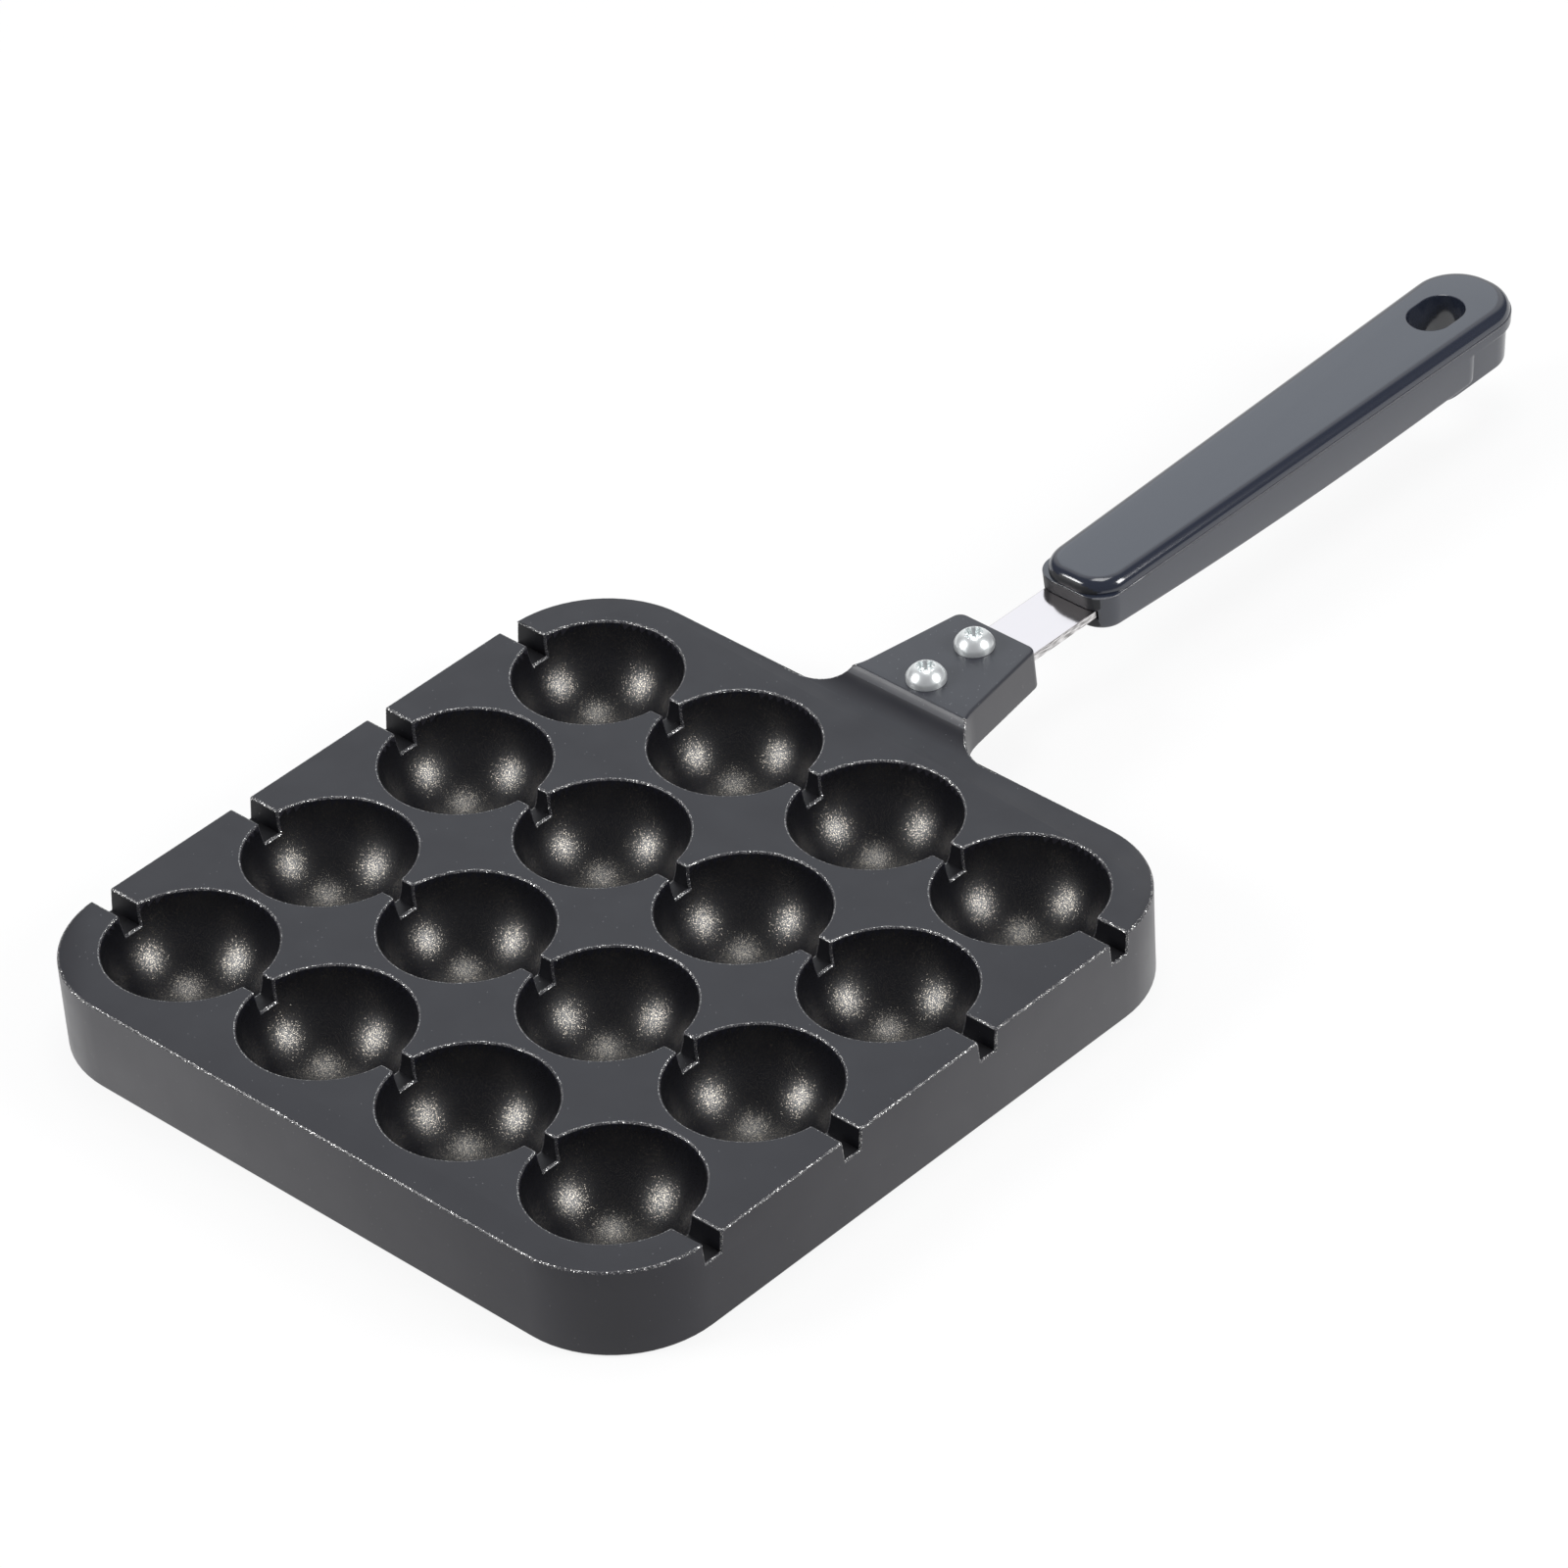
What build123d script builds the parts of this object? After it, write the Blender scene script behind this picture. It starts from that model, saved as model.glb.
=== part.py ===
from build123d import *
import math
import os

os.makedirs("parts", exist_ok=True)

# Takoyaki pan: a cast plate of hemispherical cups with a lug, and a long
# grip on a flat steel strap. Millimetres. The origin is the centre of the
# flat base, +X runs along the pouring channels, +Y towards the grip, +Z up.

# Plate: outline, height and walls
PLATE_SIZE = 182.0
PLATE_CORNER_RADIUS = 26.5
PLATE_HEIGHT = 22.6
WALL_DRAFT = 0.5
SKIRT_WALL = 3.6
DECK_THICKNESS = 3.4
PLATE_TOP_EDGE = 0.6
PLATE_FOOT_EDGE = 0.8

# Cups: a square pattern of near half spheres
CUPS_PER_SIDE = 4
CUP_PITCH = 42.0
CUP_RIM_RADIUS = 19.4
CUP_DEPTH = 19.0
CUP_WALL = 3.0
CUP_FOOT_RADIUS = 7.0

# Channels: one along each row of cups, open at both side walls
CHANNEL_TOP_WIDTH = 5.6
CHANNEL_FLOOR_WIDTH = 4.4
CHANNEL_DEPTH = 5.4
CHANNEL_WALL = 3.0

# Lug: the cast ear that carries the strap
LUG_LENGTH = 36.0
LUG_ROOT_WIDTH = 34.6
LUG_END_WIDTH = 22.8
LUG_RISE = 3.7
LUG_HEIGHT = 9.9
LUG_DRAFT = 3.0
LUG_FLARE_RADIUS = 13.0
LUG_CORNER_RADIUS = 2.5
LUG_RAMP_LENGTH = 7.5
LUG_RAMP_LEAD = 1.0
LUG_EDGE = 0.8
LUG_ROOT_STRIP = 64.0
LUG_ROOT_DEPTH = 2.0

# Strap: flat steel bar from the lug into the grip
STRAP_WIDTH = 15.0
STRAP_THICKNESS = 2.0
STRAP_DROP = 1.5
STRAP_START = 4.5
STRAP_CORNER = 2.0
STRAP_CLEARANCE = 0.3
TANG_LENGTH = 112.0

# Lug screws and nuts: M5 pan head screws on the centre line
SCREW_DIAMETER = 5.0
SCREW_LENGTH = 12.0
SCREW_HEAD_DIAMETER = 9.2
SCREW_HEAD_HEIGHT = 4.3
SCREW_HEAD_RIM = 1.3
SCREW_PITCH = 16.0
SCREW_OFFSET = 12.0
SCREW_CLEARANCE = 0.25
THREAD_CLEARANCE = 0.05
NUT_ACROSS_FLATS = 8.0
NUT_HEIGHT = 4.0
RECESS_SPAN = 4.6
RECESS_SLOT = 1.1
RECESS_DEPTH = 1.8

# Grip: one moulding round the tang, in its own tilted frame
GRIP_START = 59.0
GRIP_LENGTH = 151.0
GRIP_RISE = 1.0
GRIP_TOP_AT_FRONT = 5.3
GRIP_FRONT_WIDTH = 21.4
GRIP_REAR_WIDTH = 25.9
GRIP_FRONT_RADIUS = 6.2
GRIP_REAR_RADIUS = 12.0
GRIP_CROWN = 3.2
GRIP_CROWN_ROUNDING = 3.15
GRIP_CROWN_STEP = 0.3
GRIP_CROWN_FRONT_RADIUS = 8.7
GRIP_FLANGE = 2.8
GRIP_FLANGE_ROUNDING = 0.25
GRIP_DRAFT = 3.5
GRIP_EDGE = 1.2
BELLY_FRONT = 8.7
BELLY_MIDDLE = 11.9
BELLY_REAR = 11.0
BELLY_MIDDLE_SHARE = 0.65
BODY_FROM_END = 17.0
BODY_REAR_RADIUS = 6.0

# Hanging eye at the far end of the grip
EYE_FROM_END = 20.0
EYE_LENGTH = 15.0
EYE_WIDTH = 11.0
EYE_DRAFT = 3.0
EYE_PAD_INSET = 1.4
EYE_PAD_LENGTH = 34.0
EYE_PAD_DEPTH = 13.0
EYE_PAD_RADIUS = 10.0
EYE_PAD_EDGE = 0.8

# Grip screw: M4 pan head, up through the underside into the moulding
GRIP_SCREW_DIAMETER = 4.0
GRIP_SCREW_LENGTH = 10.0
GRIP_SCREW_HEAD_DIAMETER = 8.0
GRIP_SCREW_HEAD_HEIGHT = 2.6
GRIP_SCREW_FROM_FRONT = 65.0
GRIP_SCREW_SEAT = 2.6
GRIP_SCREW_END_ROOM = 1.0

# How far a cutting form runs past the face it opens
CUT_PAST = 1.0

# Places worked out from the sizes above
PLATE_HALF = PLATE_SIZE / 2
CUP_SPHERE_RADIUS = (CUP_RIM_RADIUS**2 + CUP_DEPTH**2) / (2 * CUP_DEPTH)
CUP_CENTRE_Z = PLATE_HEIGHT - CUP_DEPTH + CUP_SPHERE_RADIUS
CUP_LINES = [(i - (CUPS_PER_SIDE - 1) / 2) * CUP_PITCH for i in range(CUPS_PER_SIDE)]
LUG_TOP_Z = PLATE_HEIGHT + LUG_RISE
LUG_END_Y = PLATE_HALF + LUG_LENGTH
STRAP_TOP_Z = PLATE_HEIGHT - STRAP_DROP
STRAP_START_Y = PLATE_HALF + STRAP_START
SCREW_YS = [PLATE_HALF + SCREW_OFFSET, PLATE_HALF + SCREW_OFFSET + SCREW_PITCH]
GRIP_START_Y = PLATE_HALF + GRIP_START
BODY_LENGTH = GRIP_LENGTH - BODY_FROM_END
PARTING_Z = PLATE_HEIGHT + GRIP_TOP_AT_FRONT - GRIP_CROWN
GRIP_FRAME = Location((0, GRIP_START_Y, PARTING_Z), (GRIP_RISE, 0, 0))
GRIP_SCREW_Y = GRIP_START_Y + GRIP_SCREW_FROM_FRONT
TANG_END_Y = GRIP_START_Y + TANG_LENGTH


def edges_at_height(shape, height, tolerance=0.01):
    """Edges whose two ends and middle all lie at one height."""
    def level(edge):
        return all(abs((edge @ t).Z - height) < tolerance for t in (0.0, 0.5, 1.0))
    return shape.edges().filter_by(level)


def square_outline(inset):
    """The plate's plan outline, moved in by a wall."""
    size = PLATE_SIZE - 2 * inset
    return RectangleRounded(size, size, PLATE_CORNER_RADIUS - inset)


def plate_block():
    """The outer form: straight walls with a little draft, rounded edges."""
    block = extrude(Pos(0, 0, PLATE_HEIGHT) * square_outline(0), -PLATE_HEIGHT, taper=WALL_DRAFT)
    block = fillet(edges_at_height(block, 0), PLATE_FOOT_EDGE)
    return fillet(edges_at_height(block, PLATE_HEIGHT), PLATE_TOP_EDGE)


def plate_hollow():
    """The space under the deck, inside the skirt."""
    depth = PLATE_HEIGHT - DECK_THICKNESS
    return extrude(Pos(0, 0, depth) * square_outline(SKIRT_WALL), -depth - CUT_PAST, taper=-WALL_DRAFT)


def cup_places(z):
    return [Pos(x, y, z) for x in CUP_LINES for y in CUP_LINES]


def cup_domes():
    """The outside of each cup as seen from below, with a flat foot."""
    dome = Sphere(CUP_SPHERE_RADIUS + CUP_WALL)
    keep = Pos(0, 0, -CUP_CENTRE_Z) * Cylinder(
        2 * CUP_RIM_RADIUS, PLATE_HEIGHT - PLATE_TOP_EDGE, align=(Align.CENTER, Align.CENTER, Align.MIN)
    )
    foot = Pos(0, 0, -CUP_CENTRE_Z) * Cylinder(
        CUP_FOOT_RADIUS, CUP_DEPTH, align=(Align.CENTER, Align.CENTER, Align.MIN)
    )
    one = (dome & keep) + foot
    return [place * one for place in cup_places(CUP_CENTRE_Z)]


def channel_section(top_width, floor_width, depth, above):
    """A trough section across a channel, a little higher than its top."""
    slope = (top_width - floor_width) / 2 / depth
    top = top_width / 2 + slope * above
    return Plane.YZ * make_face(Polyline(
        (-floor_width / 2, -depth), (floor_width / 2, -depth), (top, above), (-top, above), close=True
    ))


def channels():
    section = channel_section(CHANNEL_TOP_WIDTH, CHANNEL_FLOOR_WIDTH, CHANNEL_DEPTH, CUT_PAST)
    bar = extrude(section, PLATE_SIZE, both=True)
    return [Pos(0, y, PLATE_HEIGHT) * bar for y in CUP_LINES]


def channel_ribs():
    """The thicker metal under each channel."""
    width = CHANNEL_FLOOR_WIDTH + 2 * CHANNEL_WALL
    depth = CHANNEL_DEPTH + CHANNEL_WALL
    bar = Box(PLATE_SIZE - SKIRT_WALL, width, depth, align=(Align.CENTER, Align.CENTER, Align.MAX))
    return [Pos(0, y, PLATE_HEIGHT - PLATE_TOP_EDGE) * bar for y in CUP_LINES]


def lug_plan():
    """Plan of the lug: tapered, flared into the plate's back wall."""
    root_y = PLATE_HALF - PLATE_TOP_EDGE
    taper = make_face(Polyline(
        (-LUG_ROOT_WIDTH / 2, root_y - LUG_ROOT_DEPTH / 2),
        (LUG_ROOT_WIDTH / 2, root_y - LUG_ROOT_DEPTH / 2),
        (LUG_ROOT_WIDTH / 2, root_y),
        (LUG_END_WIDTH / 2, LUG_END_Y),
        (-LUG_END_WIDTH / 2, LUG_END_Y),
        (-LUG_ROOT_WIDTH / 2, root_y),
        close=True,
    ))
    strip = Pos(0, root_y - LUG_ROOT_DEPTH / 2) * Rectangle(LUG_ROOT_STRIP, LUG_ROOT_DEPTH)
    plan = taper + strip
    inner = plan.vertices().filter_by(
        lambda v: abs(v.Y - root_y) < 0.01 and abs(abs(v.X) - LUG_ROOT_WIDTH / 2) < 0.5
    )
    plan = fillet(inner, LUG_FLARE_RADIUS)
    outer = plan.vertices().filter_by(lambda v: abs(v.Y - LUG_END_Y) < 0.01)
    return fillet(outer, LUG_CORNER_RADIUS)


def lug_side_view():
    """Side view of the lug, with the hollow ramp up from the plate's top."""
    low = LUG_TOP_Z - LUG_HEIGHT
    root = PLATE_HALF - 2 * LUG_ROOT_DEPTH
    ramp_start = PLATE_HALF - LUG_RAMP_LEAD
    ramp = TangentArc(
        (ramp_start, PLATE_HEIGHT), (ramp_start + LUG_RAMP_LENGTH, LUG_TOP_Z), tangent=(1, 0)
    )
    end = LUG_END_Y + CUT_PAST
    rest = Polyline(
        ramp @ 1, (end, LUG_TOP_Z), (end, low), (root, low), (root, PLATE_HEIGHT), ramp @ 0
    )
    return Plane.YZ * make_face([ramp, rest])


def lug():
    """The lug with softened top edges, open below for the strap."""
    solid = extrude(Pos(0, 0, LUG_TOP_Z) * lug_plan(), -LUG_HEIGHT, taper=-LUG_DRAFT)
    solid = solid & extrude(lug_side_view(), LUG_ROOT_STRIP, both=True)
    solid = fillet(edges_at_height(solid, LUG_TOP_Z), LUG_EDGE)
    seat_length = LUG_END_Y - STRAP_START_Y + STRAP_CLEARANCE + CUT_PAST
    seat = Pos(0, STRAP_START_Y - STRAP_CLEARANCE, STRAP_TOP_Z) * Box(
        STRAP_WIDTH + 2 * STRAP_CLEARANCE, seat_length, LUG_HEIGHT,
        align=(Align.CENTER, Align.MIN, Align.MAX),
    )
    return solid - seat


def screw_hole(diameter, y):
    """An upright clearance hole through the strap and what lies near it."""
    return Pos(0, y, STRAP_TOP_Z) * Cylinder(diameter / 2 + SCREW_CLEARANCE, 2 * LUG_HEIGHT)


def pan_plate():
    """The casting: skirt, deck, cups, channels and lug in one piece."""
    cast = plate_block() - plate_hollow()
    cast = cast.fuse(*cup_domes(), *channel_ribs(), lug())
    cups = [place * Sphere(CUP_SPHERE_RADIUS) for place in cup_places(CUP_CENTRE_Z)]
    return cast.cut(*cups, *channels(), *[screw_hole(SCREW_DIAMETER, y) for y in SCREW_YS])


def handle_strap():
    """Flat bar under the lug's roof, through to the end of the tang."""
    length = TANG_END_Y - STRAP_START_Y
    plan = Pos(0, STRAP_START_Y + length / 2) * RectangleRounded(STRAP_WIDTH, length, STRAP_CORNER)
    bar = extrude(Pos(0, 0, STRAP_TOP_Z) * plan, -STRAP_THICKNESS)
    lug_holes = [screw_hole(SCREW_DIAMETER, y) for y in SCREW_YS]
    return bar.cut(*lug_holes, screw_hole(GRIP_SCREW_DIAMETER, GRIP_SCREW_Y))


def pan_head_screw(diameter, length, head_diameter, head_height):
    """A screw standing on its head's underside at the origin, head up."""
    radius = head_diameter / 2
    rise = head_height - SCREW_HEAD_RIM
    dome = (radius**2 + rise**2) / (2 * rise)
    half_turn = math.asin(radius / dome) / 2
    crown = ThreePointArc(
        (radius, SCREW_HEAD_RIM),
        (dome * math.sin(half_turn), head_height - dome * (1 - math.cos(half_turn))),
        (0, head_height),
    )
    rest = Polyline(
        (0, head_height), (0, -length), (diameter / 2, -length),
        (diameter / 2, 0), (radius, 0), (radius, SCREW_HEAD_RIM),
    )
    screw = revolve(Plane.XZ * make_face([crown, rest]), Axis.Z)
    slot = Box(RECESS_SPAN, RECESS_SLOT, RECESS_DEPTH, align=(Align.CENTER, Align.CENTER, Align.MIN))
    cross = Pos(0, 0, head_height - RECESS_DEPTH) * (slot + Rot(0, 0, 90) * slot)
    return screw - cross


def lug_nut():
    """A plain hexagon nut whose top is at the origin."""
    plate = extrude(RegularPolygon(NUT_ACROSS_FLATS / 2, 6, major_radius=False), -NUT_HEIGHT)
    dish = NUT_ACROSS_FLATS / math.sqrt(3)
    fall = dish - NUT_ACROSS_FLATS / 2
    rounding = Pos(0, 0, -NUT_HEIGHT) * Cone(
        NUT_ACROSS_FLATS / 2, dish, fall, align=(Align.CENTER, Align.CENTER, Align.MIN)
    )
    rest = Cylinder(dish + CUT_PAST, NUT_HEIGHT - fall, align=(Align.CENTER, Align.CENTER, Align.MAX))
    bore = Pos(0, 0, -NUT_HEIGHT / 2) * Cylinder(
        SCREW_DIAMETER / 2 + THREAD_CLEARANCE, NUT_HEIGHT + 2 * CUT_PAST
    )
    return (plate & (rounding + rest)) - bore


def grip_outline(inset, length, front_radius, rear_radius):
    """The grip's plan from its front face, moved in by an inset."""
    def half_width(y):
        share = y / GRIP_LENGTH
        return (GRIP_FRONT_WIDTH + (GRIP_REAR_WIDTH - GRIP_FRONT_WIDTH) * share) / 2 - inset
    plan = make_face(Polyline(
        (-half_width(inset), inset), (half_width(inset), inset),
        (half_width(length), length), (-half_width(length), length), close=True,
    ))
    plan = fillet(plan.vertices().filter_by(lambda v: v.Y < length / 2), front_radius)
    return fillet(plan.vertices().filter_by(lambda v: abs(v.Y - length) < 0.01), rear_radius)


def grip_crown():
    """The part above the parting line, set in a step and fully rounded."""
    length = GRIP_LENGTH - GRIP_CROWN_STEP
    rear_radius = GRIP_REAR_RADIUS - GRIP_CROWN_STEP
    plan = grip_outline(GRIP_CROWN_STEP, length, GRIP_CROWN_FRONT_RADIUS, rear_radius)
    slab = extrude(plan, GRIP_CROWN)
    return fillet(edges_at_height(slab, GRIP_CROWN), GRIP_CROWN_ROUNDING)


def grip_flange():
    """The straight edge below the parting line, all the way round."""
    plan = grip_outline(0, GRIP_LENGTH, GRIP_FRONT_RADIUS, GRIP_REAR_RADIUS)
    flange = extrude(plan, -GRIP_FLANGE, taper=GRIP_DRAFT)
    return fillet(edges_at_height(flange, 0), GRIP_FLANGE_ROUNDING)


def grip_body():
    """The hand's part of the grip, with its curved belly."""
    depth = max(BELLY_FRONT, BELLY_MIDDLE, BELLY_REAR) + CUT_PAST
    plan = grip_outline(0, BODY_LENGTH, GRIP_FRONT_RADIUS, BODY_REAR_RADIUS)
    block = extrude(plan, -depth, taper=GRIP_DRAFT)
    end = BODY_LENGTH + CUT_PAST
    belly = ThreePointArc(
        (-CUT_PAST, -BELLY_FRONT), (BODY_LENGTH * BELLY_MIDDLE_SHARE, -BELLY_MIDDLE), (end, -BELLY_REAR)
    )
    top = -GRIP_FLANGE_ROUNDING
    rest = Polyline(belly @ 1, (end, top), (-CUT_PAST, top), belly @ 0)
    side = Plane.YZ * make_face([belly, rest])
    body = block & extrude(side, GRIP_REAR_WIDTH, both=True)
    under = body.faces().sort_by(Axis.Z)[0]
    return fillet(under.edges(), GRIP_EDGE)


def eye_pad():
    """The thicker pad round the hanging eye."""
    width = GRIP_REAR_WIDTH - 2 * EYE_PAD_INSET
    centre = GRIP_LENGTH - EYE_PAD_INSET - EYE_PAD_LENGTH / 2
    plan = Pos(0, centre) * RectangleRounded(width, EYE_PAD_LENGTH, EYE_PAD_RADIUS)
    pad = extrude(plan, -EYE_PAD_DEPTH, taper=GRIP_DRAFT)
    return fillet(edges_at_height(pad, -EYE_PAD_DEPTH), EYE_PAD_EDGE)


def eye_hole():
    """The eye: narrowest at the parting line, opening both ways."""
    y = GRIP_LENGTH - EYE_FROM_END
    plan = Pos(0, y) * SlotOverall(EYE_LENGTH, EYE_WIDTH, rotation=90)
    up = extrude(plan, GRIP_CROWN + CUT_PAST, taper=-EYE_DRAFT)
    down = extrude(plan, -EYE_PAD_DEPTH - CUT_PAST, taper=-EYE_DRAFT)
    return up + down


def handle_grip():
    """The moulding, with its slot for the tang and its screw hole."""
    grip = grip_crown().fuse(grip_flange(), grip_body(), eye_pad())
    grip = (GRIP_FRAME * grip) - (GRIP_FRAME * eye_hole())
    slot_length = TANG_END_Y - GRIP_START_Y + STRAP_CLEARANCE + CUT_PAST
    slot = Pos(0, GRIP_START_Y - CUT_PAST, STRAP_TOP_Z) * Box(
        STRAP_WIDTH + 2 * STRAP_CLEARANCE, slot_length, STRAP_THICKNESS + STRAP_CLEARANCE,
        align=(Align.CENTER, Align.MIN, Align.MAX),
    )
    seat_z = STRAP_TOP_Z - STRAP_THICKNESS - STRAP_CLEARANCE - GRIP_SCREW_SEAT
    low = Pos(0, GRIP_SCREW_Y, seat_z)
    counterbore = low * Cylinder(
        GRIP_SCREW_HEAD_DIAMETER / 2 + SCREW_CLEARANCE, PLATE_HEIGHT,
        align=(Align.CENTER, Align.CENTER, Align.MAX),
    )
    pilot = low * Cylinder(
        GRIP_SCREW_DIAMETER / 2 + THREAD_CLEARANCE, GRIP_SCREW_LENGTH + GRIP_SCREW_END_ROOM,
        align=(Align.CENTER, Align.CENTER, Align.MIN),
    )
    return grip.cut(slot, counterbore, pilot)


def grip_screw():
    seat_z = STRAP_TOP_Z - STRAP_THICKNESS - STRAP_CLEARANCE - GRIP_SCREW_SEAT
    screw = pan_head_screw(
        GRIP_SCREW_DIAMETER, GRIP_SCREW_LENGTH, GRIP_SCREW_HEAD_DIAMETER, GRIP_SCREW_HEAD_HEIGHT
    )
    return Pos(0, GRIP_SCREW_Y, seat_z) * Rot(180, 0, 0) * screw


pieces = {
    "pan_plate": pan_plate(),
    "handle_strap": handle_strap(),
    "handle_grip": handle_grip(),
    "grip_screw": grip_screw(),
}
for name, y in zip(("front", "rear"), SCREW_YS):
    screw = pan_head_screw(SCREW_DIAMETER, SCREW_LENGTH, SCREW_HEAD_DIAMETER, SCREW_HEAD_HEIGHT)
    pieces[f"lug_screw_{name}"] = Pos(0, y, LUG_TOP_Z) * screw
    pieces[f"lug_nut_{name}"] = Pos(0, y, STRAP_TOP_Z - STRAP_THICKNESS) * lug_nut()

for name, shape in pieces.items():
    export_step(shape, f"parts/{name}.step")
    print(name, len(shape.solids()), round(shape.volume))
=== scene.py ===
import math
import bmesh
import bpy
from mathutils import Matrix, Vector


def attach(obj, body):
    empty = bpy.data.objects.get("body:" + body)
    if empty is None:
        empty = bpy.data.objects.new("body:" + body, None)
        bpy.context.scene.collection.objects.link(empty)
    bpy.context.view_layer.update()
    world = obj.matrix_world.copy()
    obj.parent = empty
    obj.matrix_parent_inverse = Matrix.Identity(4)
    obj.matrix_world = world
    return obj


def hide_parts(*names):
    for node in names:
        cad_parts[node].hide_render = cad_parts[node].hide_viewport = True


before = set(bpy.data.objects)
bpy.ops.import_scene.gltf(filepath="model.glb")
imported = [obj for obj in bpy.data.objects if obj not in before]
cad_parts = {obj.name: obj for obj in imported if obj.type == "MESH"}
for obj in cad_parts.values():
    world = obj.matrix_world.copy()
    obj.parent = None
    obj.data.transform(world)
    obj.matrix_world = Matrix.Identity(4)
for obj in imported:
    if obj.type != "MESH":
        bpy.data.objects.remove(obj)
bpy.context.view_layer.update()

# Sizes are in metres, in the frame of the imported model: +X along the
# channels, +Y along the handle, +Z up, with the floor at zero.
MM = 0.001

# Camera
CAMERA_PLACE = Vector((0.9840, -0.9169, 1.0622))
CAMERA_AZIMUTH = math.radians(45.308)
CAMERA_ELEVATION = math.radians(36.852)
CAMERA_ROLL = math.radians(-4.035)
CAMERA_LENS = 182.26
CAMERA_REACH = 100.0

# Studio: the backdrop's middle and how wide its glow is, the dim room
WHITE = (1, 1, 1, 1)
BACKDROP_WAY = (-0.569, 0.563, 0.600)
BACKDROP_INNER = math.radians(26)
BACKDROP_OUTER = math.radians(48)
ROOM_GLOSS = (0.13, 0.13, 0.145, 1)
ROOM_FILL = (0.42, 0.42, 0.43, 1)

# Lamps: what they face, then how far off they stand, their size and power
LAMP_AIM = Vector((0, 0.05, 0))
SIDE_LAMP = {"distance": 1.6, "width": 0.55, "height": 0.55, "power": 15}
TOP_LAMP = {"distance": 1.6, "width": 0.6, "height": 0.6, "power": 6}
BACK_CARD = {"distance": 1.5, "width": 0.9, "height": 0.75, "power": 1.2}
RIGHT_LAMP_WAY = (0.754, 0.368, 0.545)
LEFT_LAMP_WAY = (-0.487, -0.675, 0.555)
TOP_LAMP_WAY = (-0.04, 0.13, 0.99)
BACK_CARD_COLOUR = (0.74, 0.87, 1.0)

# Floor. The gloss of the pan's walls sees it darker on the camera's side
# and white past the pan's middle.
FLOOR_HALF = 3.0
FLOOR_DROP = 0.2 * MM
FLOOR_PAPER = (0.86, 0.86, 0.86, 1)
FLOOR_GLOW = 0.86
FLOOR_FADE_WAY = (-0.707, 0.707, 0.0)
FLOOR_FADE_START = -125.0 * MM
FLOOR_FADE_END = -10.0 * MM
FLOOR_FADE_LOW = 0.42
FLOOR_FADE_HIGH = 1.0

# Plate: what its finish needs to know of its form. The skirt is what lies
# beyond SKIRT_FROM on either axis, and the lug what lies past LUG_START.
CUP_PITCH = 42.0 * MM
CUP_RIM_RADIUS = 19.4 * MM
CUPS_HALF = 84.0 * MM
DECK_HEIGHT = 22.6 * MM
CHANNEL_DEPTH = 5.4 * MM
CHANNEL_HALF = 2.9 * MM
SKIRT_FROM = 80.0 * MM
TOP_EDGE = 0.62 * MM
PLATE_BACK = 91.5 * MM
LUG_START = 96.0 * MM

# Grip: its parting plane, the rounded edge just below it and its front
GRIP_START = 150.0 * MM
GRIP_RISE = math.radians(1.0)
PARTING_HEIGHT = 24.7 * MM
SEAM_DEPTH = 0.30 * MM
SEAM_INNER = 7.0 * MM
FRONT_DEPTH = 7.0 * MM

# Rounded edges of the pieces
WELD = 0.001 * MM
FLAT_ANGLE = math.radians(0.3)
SHARP_ANGLE = math.radians(28)
CRISP_ANGLE = math.radians(55)
PLATE_EDGE = 0.45 * MM
STRAP_EDGE = 0.18 * MM
GRIP_EDGE = 0.22 * MM
FASTENER_EDGE = 0.12 * MM

# Cross recess of the lug screws: half lengths and half widths of an arm
RECESS_REACH = 2.9 * MM
RECESS_FOOT = 0.7 * MM
RECESS_WIDTH = 0.62 * MM
RECESS_FOOT_WIDTH = 0.34 * MM
RECESS_DEPTH = 2.0 * MM
RECESS_TURN = math.radians(45)

# Flakes in the coatings: how they look, their size and how far they lean.
# The plate's edges are drawn the same way: worn metal with painted highlight.
GREY_FLAKE = {"colour": (0.35, 0.35, 0.37, 1), "roughness": 0.30, "size": 0.18 * MM, "lean": 0.30}
CUP_FLAKE = {"colour": (0.19, 0.174, 0.150, 1), "roughness": 0.19, "size": 0.13 * MM, "lean": 0.17}
DULL_FLAKE = {"colour": (0.30, 0.30, 0.30, 1), "roughness": 0.30, "size": 0.15 * MM, "lean": 0.20}
WORN_METAL_AND_GLINT = {"colour": (0.85, 0.84, 0.82, 1), "roughness": 0.32, "size": 0.20 * MM, "lean": 0.50}
FLAKE_RADIUS = 0.45

# Metals and mouldings
POLISHED_STEEL = (0.615, 0.580, 0.585, 1)
TORN_STEEL_DARK = (0.30, 0.29, 0.29, 1)
TORN_STEEL_LIGHT = (0.86, 0.84, 0.84, 1)
ZINC_PLATE = (0.86, 0.89, 0.89, 1)
GRIP_COLOUR = (0.018, 0.022, 0.035, 1)
# Grip front: darker than the grip, as painted shade
SOCKET_SHADE_COLOUR = (0.014, 0.015, 0.018, 1)
# Seam: lighter for the trimmed parting line and as painted highlight along it
SEAM_TRIM_AND_GLINT_COLOUR = (0.11, 0.11, 0.12, 1)


def shade(bm, angle, eased):
    """Smooth faces, crisp at sharp edges and where an eased edge begins."""
    eased = set(eased)
    for face in bm.faces:
        face.smooth = True
    for edge in bm.edges:
        sides = {face in eased for face in edge.link_faces}
        edge.smooth = edge.calc_face_angle(0.0) < angle and len(sides) < 2


def corners(bm):
    """Lowest and highest corner of the box round a mesh."""
    return [[limit(v.co[axis] for v in bm.verts) for axis in range(3)] for limit in (min, max)]


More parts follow.
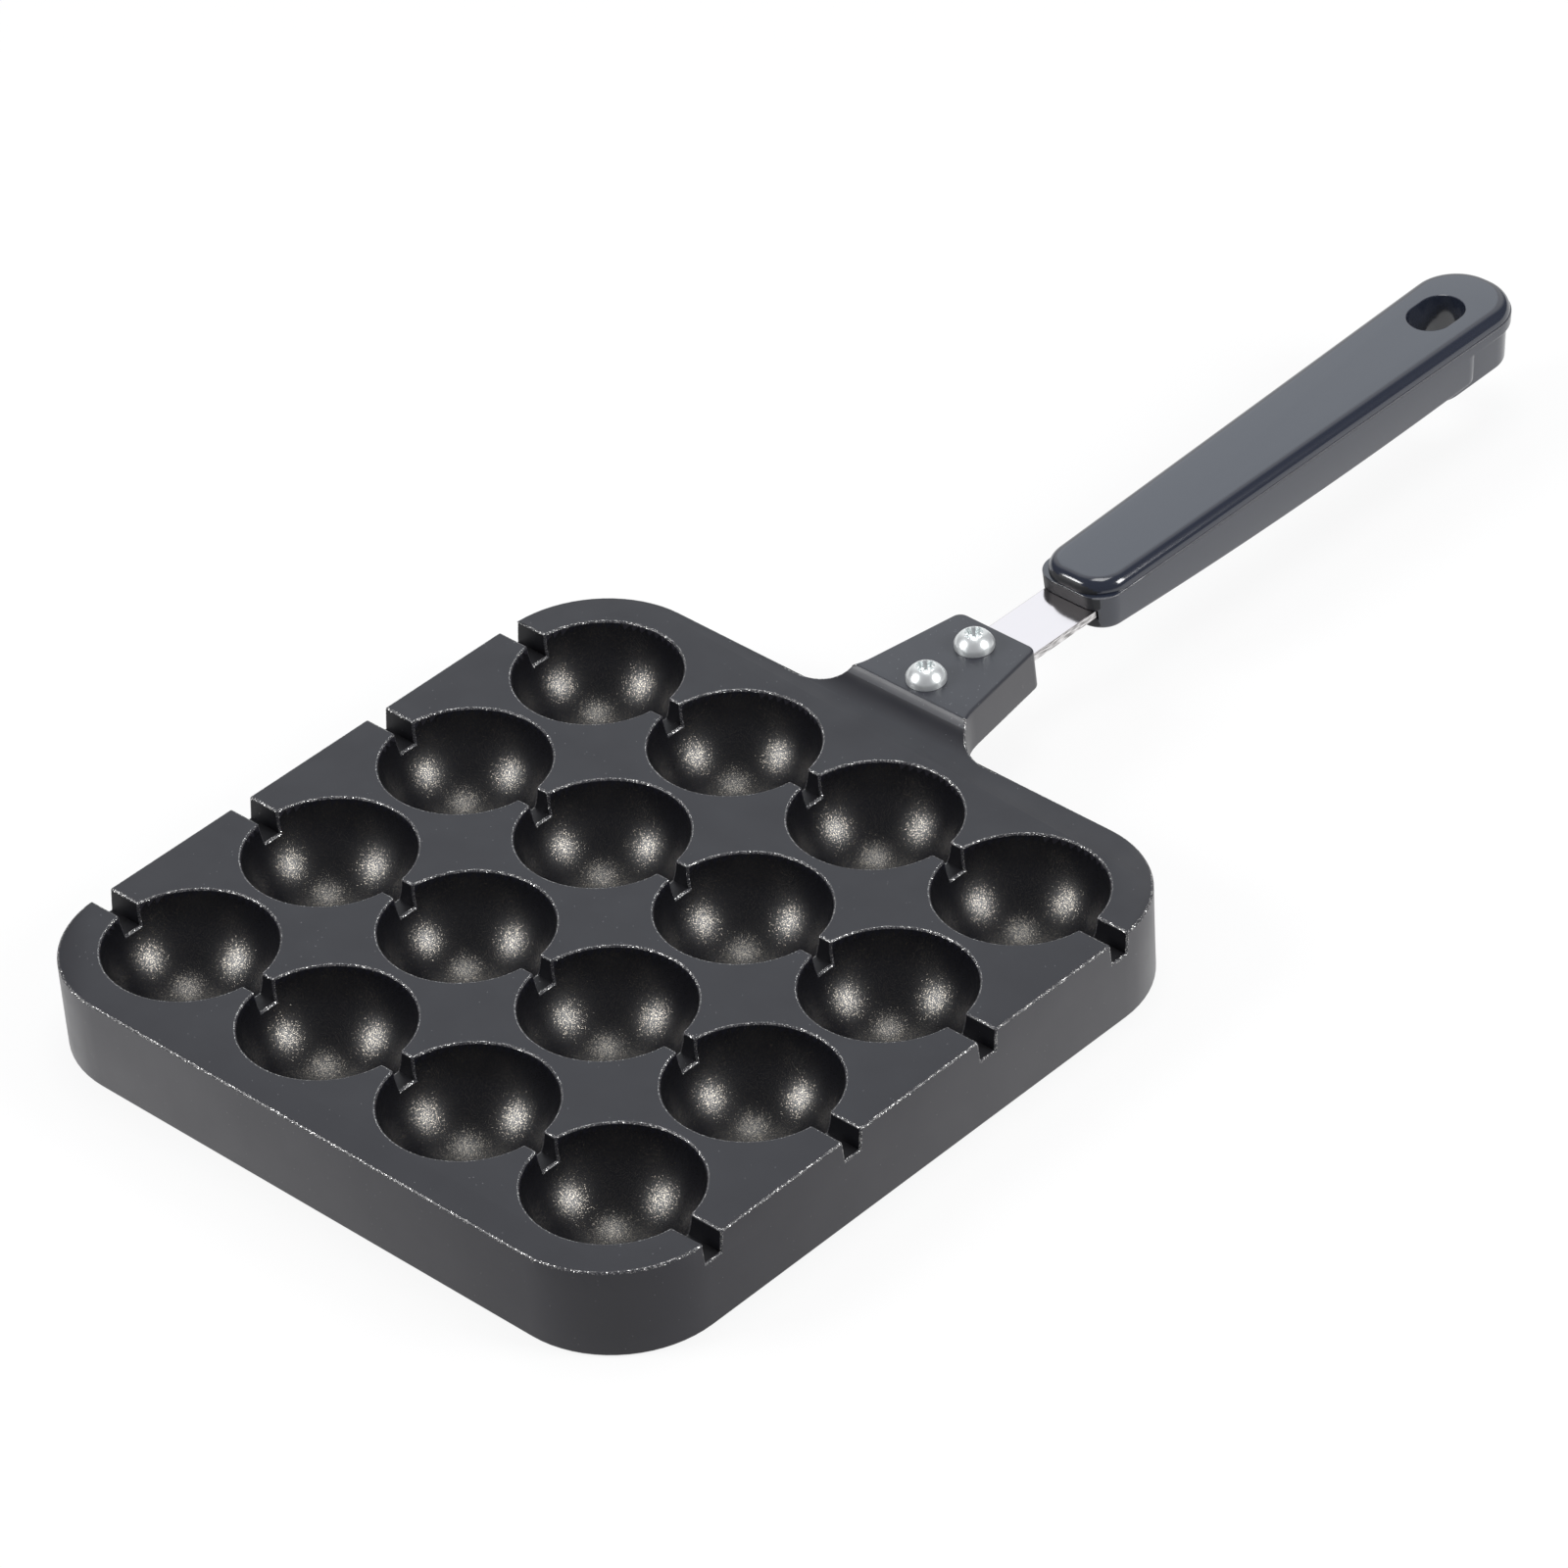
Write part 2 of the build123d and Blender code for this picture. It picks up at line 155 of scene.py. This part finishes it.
def ease_edges(bm, width, segments=2):
    """Rounds the crisp outward edges, inside the mesh's own box.

    Gives the new faces.
    """
    low, high = corners(bm)
    crisp = [
        edge for edge in bm.edges
        if edge.is_manifold and edge.is_convex and CRISP_ANGLE < edge.calc_face_angle() < math.pi
    ]
    made = bmesh.ops.bevel(
        bm, geom=crisp, offset=width, offset_type="OFFSET", segments=segments,
        profile=0.5, affect="EDGES", clamp_overlap=False,
    )
    for vertex in bm.verts:
        for axis in range(3):
            vertex.co[axis] = min(max(vertex.co[axis], low[axis]), high[axis])
    bm.normal_update()
    return made["faces"]


def cad_copy(node):
    """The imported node's form as an editable mesh with its seams closed."""
    bm = bmesh.new()
    bm.from_mesh(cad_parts[node].data)
    bmesh.ops.remove_doubles(bm, verts=bm.verts, dist=WELD)
    bmesh.ops.dissolve_limit(
        bm, angle_limit=FLAT_ANGLE, verts=bm.verts[:], edges=bm.edges[:]
    )
    return bm


def finish_mesh(bm, name, eased, materials):
    """Turns an editable mesh into a shaded one with these materials."""
    shade(bm, SHARP_ANGLE, eased)
    mesh = bpy.data.meshes.new(name)
    bm.to_mesh(mesh)
    bm.free()
    for material in materials:
        mesh.materials.append(material)
    return mesh


def link(name, data):
    """Puts an object with this data in the scene."""
    made = bpy.data.objects.new(name, data)
    bpy.context.scene.collection.objects.link(made)
    return made


def new_piece(name, mesh, node):
    """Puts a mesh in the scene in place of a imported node."""
    piece = link(name, mesh)
    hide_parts(node)
    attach(piece, "root")


class Nodes:
    """A shader tree, built node by node."""

    def __init__(self, tree):
        self.tree = tree
        tree.nodes.clear()

    def add(self, kind, settings=None, **inputs):
        """A node with its settings and its inputs, each a value or an output."""
        node = self.tree.nodes.new(kind)
        for key, value in (settings or {}).items():
            setattr(node, key, value)
        for key, value in inputs.items():
            self.feed(node, key.replace("_", " "), value)
        return node

    def feed(self, node, key, value):
        socket = node.inputs[int(key)] if key.isdigit() else node.inputs[key]
        if isinstance(value, bpy.types.NodeSocket):
            self.tree.links.new(value, socket)
        else:
            socket.default_value = value

    def feed_all(self, node, values):
        for index, value in enumerate(values):
            self.feed(node, str(index), value)
        return node

    def calc(self, operation, *values):
        node = self.add("ShaderNodeMath", {"operation": operation})
        return self.feed_all(node, values).outputs[0]

    def vector(self, operation, *values):
        node = self.add("ShaderNodeVectorMath", {"operation": operation})
        return self.feed_all(node, values)

    def scaled(self, vector, scale):
        node = self.vector("SCALE", vector)
        self.feed(node, "Scale", scale)
        return node.outputs[0]

    def blend(self, share, first, second):
        """A colour between two, by a share from 0 to 1."""
        node = self.add("ShaderNodeMix", {"data_type": "RGBA"}, Factor=share, A=first, B=second)
        return node.outputs["Result"]

    def mix(self, share, first, second):
        node = self.add("ShaderNodeMixShader")
        return self.feed_all(node, (share, first, second)).outputs[0]


class Finish(Nodes):
    """A procedural material."""

    def __init__(self, name):
        self.material = bpy.data.materials.new(name)
        self.material.use_nodes = True
        super().__init__(self.material.node_tree)
        self.place = self.add("ShaderNodeTexCoord").outputs["Object"]

    def noise(self, scale, detail=2.0, place=None):
        node = self.add(
            "ShaderNodeTexNoise", Vector=place or self.place, Scale=scale, Detail=detail
        )
        return node.outputs["Fac"]

    def ramp(self, value, low, high, from_low=0.0, from_high=1.0):
        node = self.add(
            "ShaderNodeMapRange", Value=value,
            From_Min=from_low, From_Max=from_high, To_Min=low, To_Max=high,
        )
        return node.outputs["Result"]

    def bump(self, height, strength, distance):
        node = self.add("ShaderNodeBump", Height=height, Strength=strength, Distance=distance)
        return node.outputs["Normal"]

    def principled(self, **inputs):
        return self.add("ShaderNodeBsdfPrincipled", **inputs).outputs["BSDF"]

    def done(self, shader):
        self.add("ShaderNodeOutputMaterial", Surface=shader)
        return self.material


def flakes(finish, size, share, lean):
    """Mineral flakes in a coating: (where a flake lies, the way it faces)."""
    cells = finish.add("ShaderNodeTexVoronoi", Vector=finish.place, Scale=1 / size)
    chance = finish.add("ShaderNodeSeparateColor", Color=cells.outputs["Color"]).outputs["Red"]
    chosen = finish.calc("GREATER_THAN", chance, 1 - share)
    near = finish.calc("LESS_THAN", cells.outputs["Distance"], FLAKE_RADIUS)
    leans = []
    for seed in (1.0, 2.0):
        shifted = finish.vector("ADD", cells.outputs["Position"], (seed, seed, seed)).outputs[0]
        leans.append(finish.add("ShaderNodeTexWhiteNoise", Vector=shifted).outputs["Color"])
    spread = finish.scaled(finish.vector("SUBTRACT", *leans).outputs[0], lean)
    normal = finish.add("ShaderNodeNewGeometry").outputs["Normal"]
    leaned = finish.vector("ADD", normal, spread).outputs[0]
    return finish.calc("MULTIPLY", chosen, near), finish.vector("NORMALIZE", leaned).outputs[0]


def coating(name, base, roughness, index, share, flake):
    """Dark non-stick coating with flakes in a share of its grains."""
    finish = Finish(name)
    cloud = finish.noise(90.0, 3.0)
    rough = finish.ramp(cloud, roughness - 0.03, roughness + 0.04, 0.3, 0.7)
    grain = finish.bump(finish.noise(4200.0), 0.10, 0.05 * MM)
    coat = finish.principled(Base_Color=(*base, 1), Roughness=rough, IOR=index, Normal=grain)
    where, facing = flakes(finish, flake["size"], share, flake["lean"])
    glint = finish.principled(
        Base_Color=flake["colour"], Metallic=1.0, Roughness=flake["roughness"], Normal=facing
    )
    return finish.done(finish.mix(where, coat, glint))


def polished_strap():
    finish = Finish("polished_strap")
    rough = finish.ramp(finish.noise(500.0, 1.0), 0.11, 0.14)
    return finish.done(finish.principled(
        Base_Color=POLISHED_STEEL, Metallic=1.0, Roughness=rough
    ))


def sheared_edge():
    """The strap's cut sides: the same steel, torn and darker in streaks."""
    finish = Finish("sheared_edge")
    stretched = finish.add("ShaderNodeMapping", Vector=finish.place, Scale=(1.0, 0.12, 1.0))
    streaks = finish.noise(3200.0, 3.0, stretched.outputs[0])
    share = finish.ramp(streaks, 0.0, 1.0, 0.42, 0.60)
    colour = finish.blend(share, TORN_STEEL_DARK, TORN_STEEL_LIGHT)
    relief = finish.bump(streaks, 0.5, 0.04 * MM)
    return finish.done(finish.principled(
        Base_Color=colour, Metallic=1.0, Roughness=0.34, Normal=relief
    ))


def grip_moulding():
    finish = Finish("grip_moulding")
    waves = finish.bump(finish.noise(160.0), 0.08, 0.2 * MM)
    return finish.done(finish.principled(
        Base_Color=GRIP_COLOUR, Roughness=0.14, IOR=1.7, Normal=waves
    ))


def seam_moulding():
    """The grip's flange where its parting line was trimmed, lighter partly as the trimmed seam and
    partly as painted highlight along it.
    """
    finish = Finish("seam_moulding")
    return finish.done(finish.principled(Base_Color=SEAM_TRIM_AND_GLINT_COLOUR, Roughness=0.30))


def socket_moulding():
    """The grip's front face, darker and less glossy than the rest of the grip: painted shade."""
    finish = Finish("socket_moulding")
    return finish.done(finish.principled(Base_Color=SOCKET_SHADE_COLOUR, Roughness=0.5, IOR=1.4))


def plated_fastener():
    finish = Finish("plated_fastener")
    rough = finish.ramp(finish.noise(900.0), 0.26, 0.36)
    return finish.done(finish.principled(Base_Color=ZINC_PLATE, Metallic=0.72, Roughness=rough))


def floor_paper():
    """White paper that shows the camera its shadows only lightly."""
    finish = Finish("floor_paper")
    paper = finish.principled(Base_Color=FLOOR_PAPER, Roughness=0.9)
    rays = finish.add("ShaderNodeLightPath").outputs
    along = finish.vector("DOT_PRODUCT", finish.place, FLOOR_FADE_WAY).outputs["Value"]
    fade = finish.ramp(along, FLOOR_FADE_LOW, FLOOR_FADE_HIGH, FLOOR_FADE_START, FLOOR_FADE_END)
    glow = finish.calc("MAXIMUM", rays["Is Camera Ray"], fade)
    lit = finish.add("ShaderNodeEmission", Color=WHITE, Strength=glow).outputs[0]
    seen = finish.calc("MULTIPLY", rays["Is Camera Ray"], FLOOR_GLOW)
    share = finish.calc("MAXIMUM", seen, rays["Is Glossy Ray"])
    return finish.done(finish.mix(share, paper, lit))


def from_cup_line(value):
    """Distance along an axis from the nearest line of cup centres."""
    steps = value / CUP_PITCH - 0.5
    return (steps - round(steps)) * CUP_PITCH


def reach(place):
    """How far out on the plate a place is, on the axis where it is more."""
    return max(abs(place.x), abs(place.y))


def in_cup(place, normal):
    """True on the inner, upward side of a cup."""
    offset = math.hypot(from_cup_line(place.x), from_cup_line(place.y))
    inside = offset < CUP_RIM_RADIUS - PLATE_EDGE / 4
    return reach(place) < CUPS_HALF and normal.z > 0.0 and inside


def in_channel(place, normal):
    """True on the walls and floor of a pouring channel."""
    below_deck = DECK_HEIGHT - CHANNEL_DEPTH - PLATE_EDGE < place.z < DECK_HEIGHT - PLATE_EDGE / 4
    near_line = abs(from_cup_line(place.y)) < CHANNEL_HALF
    return below_deck and near_line and abs(normal.x) < 0.5 and normal.z > -0.01


def on_top_edge(place, normal):
    """True on the rounded edge between the deck and the skirt."""
    outer = reach(place) > SKIRT_FROM and place.y < PLATE_BACK
    return outer and DECK_HEIGHT - TOP_EDGE < place.z < DECK_HEIGHT and 0.2 < normal.z < 0.97


def on_skirt(place, normal):
    """True on the upright outer faces of the plate and its lug."""
    return reach(place) > SKIRT_FROM and abs(normal.z) < 0.5


def pan_casting():
    """The casting: its edges eased and each region in its own copy of the coating; the lug's and
    the walls' copies are lighter as painted light, the channel's darker as painted shade, and the
    edges' lighter as wear and painted highlight.
    """
    regions = {
        "plate_coating": ((0.0070, 0.0072, 0.0120), 0.42, 1.45, 0.0008, GREY_FLAKE),
        "cup_coating": ((0.0065, 0.0067, 0.0090), 0.32, 1.50, 0.50, CUP_FLAKE),
        # edges: a lighter base and bright metal flakes, partly wear and partly painted highlight
        "edge_wear_and_painted_glint": ((0.035, 0.035, 0.040), 0.36, 1.50, 0.42, WORN_METAL_AND_GLINT),
        # lug: the deck's coating with a lighter base, as painted light
        "lug_painted_light": ((0.027, 0.029, 0.037), 0.40, 1.50, 0.004, GREY_FLAKE),
        # channel: a darker base and weaker reflection than the cups, as painted shade in the
        # channel
        "channel_painted_shade": ((0.005, 0.005, 0.007), 0.50, 1.35, 0.002, DULL_FLAKE),
        # skirt walls: a lighter base and stronger reflection than the deck, as painted light
        "wall_painted_light": ((0.015, 0.0145, 0.021), 0.36, 1.76, 0.0008, GREY_FLAKE),
    }
    plate, cup, edge, lug, channel, wall = range(len(regions))
    bm = cad_copy("pan_plate")
    eased = ease_edges(bm, PLATE_EDGE, 3)
    for face in bm.faces:
        where = face.calc_center_median(), face.normal
        if in_channel(*where):
            face.material_index = channel
        elif in_cup(*where):
            face.material_index = cup
        elif on_top_edge(*where):
            face.material_index = edge
        elif on_skirt(*where):
            face.material_index = wall
        else:
            face.material_index = lug if where[0].y > LUG_START else plate
    for face in eased:
        face.material_index = edge
    materials = [coating(name, *recipe) for name, recipe in regions.items()]
    mesh = finish_mesh(bm, "pan_casting", eased, materials)
    new_piece("pan_casting", mesh, "pan_plate")


def strap_bar():
    """The strap, with its sheared sides apart from its polished faces."""
    polished, sheared = range(2)
    bm = cad_copy("handle_strap")
    eased = ease_edges(bm, STRAP_EDGE)
    for face in bm.faces:
        face.material_index = sheared if abs(face.normal.z) < 0.9 else polished
    mesh = finish_mesh(bm, "strap_bar", eased, [polished_strap(), sheared_edge()])
    new_piece("strap_bar", mesh, "handle_strap")


def moulded_grip():
    """The grip, with its seam lighter as trimmed and as painted highlight, and its front darker as
    painted shade, apart from the rest.
    """
    moulding, seam, socket = range(3)
    bm = cad_copy("handle_grip")
    eased = ease_edges(bm, GRIP_EDGE)
    rise = math.tan(GRIP_RISE)
    for face in bm.faces:
        place = face.calc_center_median()
        over = place.z - (PARTING_HEIGHT + (place.y - GRIP_START) * rise)
        at_seam = -SEAM_DEPTH < over < SEAM_DEPTH / 8 and 0.05 < face.normal.z < 0.97
        at_front = place.y < GRIP_START + FRONT_DEPTH and face.normal.y < -0.8
        if at_seam and abs(place.x) > SEAM_INNER:
            face.material_index = seam
        else:
            face.material_index = socket if at_front else moulding
    materials = [grip_moulding(), seam_moulding(), socket_moulding()]
    mesh = finish_mesh(bm, "moulded_grip", eased, materials)
    new_piece("moulded_grip", mesh, "handle_grip")


def plain_fastener(node, material):
    """A nut or screw as it is packed, with its edges eased."""
    bm = cad_copy(node)
    mesh = finish_mesh(bm, node + "_body", ease_edges(bm, FASTENER_EDGE), [material])
    new_piece(node + "_body", mesh, node)


def recess_arm(centre, top, turn):
    """A tapered block that cuts one arm of a cross recess."""
    along = Vector((math.cos(turn), math.sin(turn), 0))
    aside = Vector((-along.y, along.x, 0))
    bm = bmesh.new()
    for height, length, width in (
        (top + RECESS_DEPTH / 4, RECESS_REACH, RECESS_WIDTH),
        (top - RECESS_DEPTH, RECESS_FOOT, RECESS_FOOT_WIDTH),
    ):
        level = Vector((centre.x, centre.y, height))
        for far, side in ((1, 1), (1, -1), (-1, 1), (-1, -1)):
            bm.verts.new(level + along * length * far + aside * width * side)
    bmesh.ops.convex_hull(bm, input=bm.verts)
    bmesh.ops.recalc_face_normals(bm, faces=bm.faces)
    mesh = bpy.data.meshes.new("recess_arm")
    bm.to_mesh(mesh)
    bm.free()
    return link("recess_arm", mesh)


def recessed_screw(node, material):
    """A pan head screw with a cross recess in its head."""
    bm = cad_copy(node)
    eased = ease_edges(bm, FASTENER_EDGE)
    low, high = (Vector(corner) for corner in corners(bm))
    blank = link("blank", finish_mesh(bm, node + "_head", eased, [material]))
    arms = [
        recess_arm((low + high) / 2, high.z, RECESS_TURN + quarter)
        for quarter in (0, math.pi / 2)
    ]
    for arm in arms:
        cut = blank.modifiers.new("recess", "BOOLEAN")
        cut.operation = "DIFFERENCE"
        cut.solver = "MANIFOLD"
        cut.object = arm
    ready = bpy.context.evaluated_depsgraph_get()
    mesh = bpy.data.meshes.new_from_object(blank.evaluated_get(ready))
    for helper in (blank, *arms):
        bpy.data.objects.remove(helper)
    new_piece(node + "_body", mesh, node)


def camera():
    data = bpy.data.cameras.new("camera")
    data.lens = CAMERA_LENS
    data.clip_end = CAMERA_REACH
    eye = link("camera", data)
    east, north = math.sin(CAMERA_AZIMUTH), math.cos(CAMERA_AZIMUTH)
    across, lift = math.cos(CAMERA_ELEVATION), math.sin(CAMERA_ELEVATION)
    back = Vector((east * across, -north * across, lift))
    level = Vector((north, east, 0))
    right = level * math.cos(CAMERA_ROLL) + back.cross(level) * math.sin(CAMERA_ROLL)
    turn = Matrix((right, back.cross(right), back)).transposed().to_4x4()
    eye.matrix_world = Matrix.Translation(CAMERA_PLACE) @ turn
    bpy.context.scene.camera = eye


def softbox(name, direction, distance, width, height, power, colour=WHITE[:3]):
    """A rectangular lamp that faces the pan from a direction."""
    data = bpy.data.lights.new(name, "AREA")
    data.shape = "RECTANGLE"
    data.size = width
    data.size_y = height
    data.energy = power
    data.color = colour
    lamp = link(name, data)
    lamp.visible_camera = False
    way = Vector(direction).normalized()
    lamp.location = LAMP_AIM + way * distance
    lamp.rotation_mode = "QUATERNION"
    lamp.rotation_quaternion = way.to_track_quat("Z", "Y")


def surround():
    """White to the camera; to gloss, a white backdrop behind a dim room."""
    world = bpy.data.worlds.new("surround")
    bpy.context.scene.world = world
    world.use_nodes = True
    world.cycles.sampling_method = "NONE"
    sky = Nodes(world.node_tree)
    rays = sky.add("ShaderNodeLightPath").outputs
    way = sky.add("ShaderNodeTexCoord").outputs["Generated"]
    towards = sky.vector("DOT_PRODUCT", way, BACKDROP_WAY).outputs["Value"]
    glow = sky.add(
        "ShaderNodeMapRange", {"interpolation_type": "SMOOTHSTEP"}, Value=towards,
        From_Min=math.cos(BACKDROP_OUTER), From_Max=math.cos(BACKDROP_INNER),
    ).outputs["Result"]
    mirrored = sky.calc("MAXIMUM", rays["Is Glossy Ray"], rays["Is Transmission Ray"])
    white = sky.calc("MAXIMUM", rays["Is Camera Ray"], sky.calc("MULTIPLY", mirrored, glow))
    room = sky.blend(rays["Is Diffuse Ray"], ROOM_GLOSS, ROOM_FILL)
    light = sky.add("ShaderNodeBackground", Color=sky.blend(white, room, WHITE))
    sky.add("ShaderNodeOutputWorld", Surface=light.outputs["Background"])


def studio():
    """Softboxes left, right, above and behind, over a pale floor."""
    softbox("right_box", RIGHT_LAMP_WAY, **SIDE_LAMP)
    softbox("left_box", LEFT_LAMP_WAY, **SIDE_LAMP)
    softbox("top_box", TOP_LAMP_WAY, **TOP_LAMP)
    softbox("back_card", BACKDROP_WAY, **BACK_CARD, colour=BACK_CARD_COLOUR)
    corner_ways = ((-1, -1), (1, -1), (1, 1), (-1, 1))
    mesh = bpy.data.meshes.new("floor")
    mesh.from_pydata([(x * FLOOR_HALF, y * FLOOR_HALF, 0) for x, y in corner_ways], [], [range(4)])
    mesh.materials.append(floor_paper())
    floor = link("floor", mesh)
    floor.location.z = -FLOOR_DROP


bpy.context.scene.view_settings.view_transform = "Standard"
pan_casting()
strap_bar()
moulded_grip()
fastener = plated_fastener()
for node in ("lug_screw_front", "lug_screw_rear"):
    recessed_screw(node, fastener)
for node in ("grip_screw", "lug_nut_front", "lug_nut_rear"):
    plain_fastener(node, fastener)
camera()
surround()
studio()
